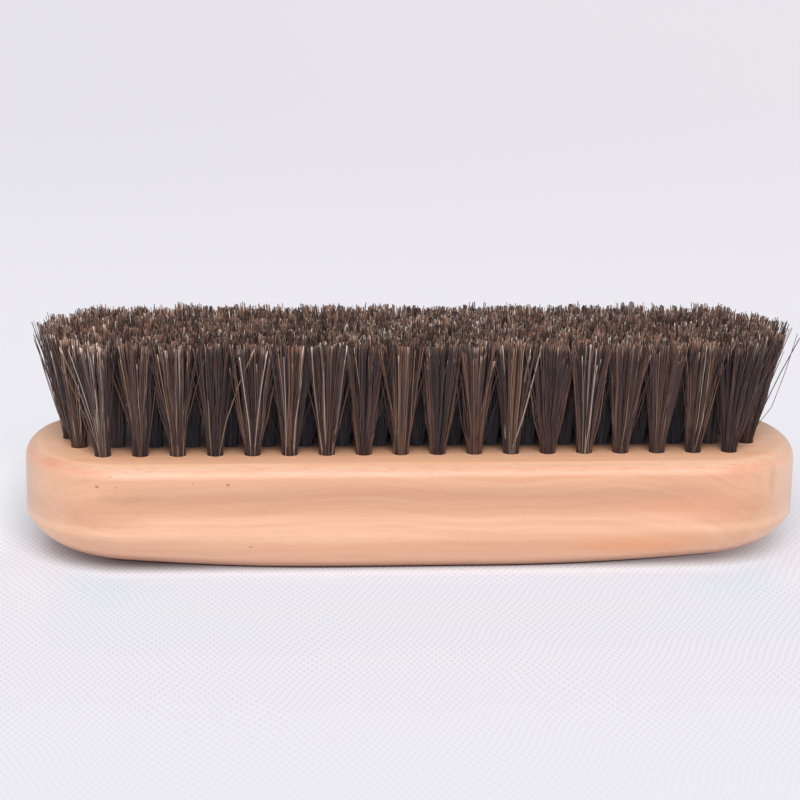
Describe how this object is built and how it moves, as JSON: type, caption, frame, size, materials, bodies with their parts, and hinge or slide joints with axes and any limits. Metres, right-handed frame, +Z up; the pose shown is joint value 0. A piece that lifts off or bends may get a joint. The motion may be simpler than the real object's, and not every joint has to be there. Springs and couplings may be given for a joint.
{
  "type": "shoe shine brush",
  "caption": "Oblong hardwood block with rounded ends and finger grooves, its drilled face set with staggered rows of folded hair tufts held by flat wire anchors.",
  "frame": {"origin": "on the surface that the brush lies on, at the middle of the block, bristles up", "axes": "+X along the block, +Y across it, +Z up through the bristles"},
  "size_m": [0.17, 0.05, 0.05],
  "materials": {
    "wood": "clear lacquer over pale hardwood",
    "hair": "natural dark brown horsehair",
    "anchor_wire": "flat drawn wire"
  },
  "bodies": {
    "root": {"block": "wood", "tuft_row_1": "hair", "tuft_row_2": "hair", "tuft_row_3": "hair", "tuft_row_4": "hair", "tuft_row_5": "hair", "anchor_row_1": "anchor_wire", "anchor_row_2": "anchor_wire", "anchor_row_3": "anchor_wire", "anchor_row_4": "anchor_wire", "anchor_row_5": "anchor_wire"}
  },
  "joints": []
}
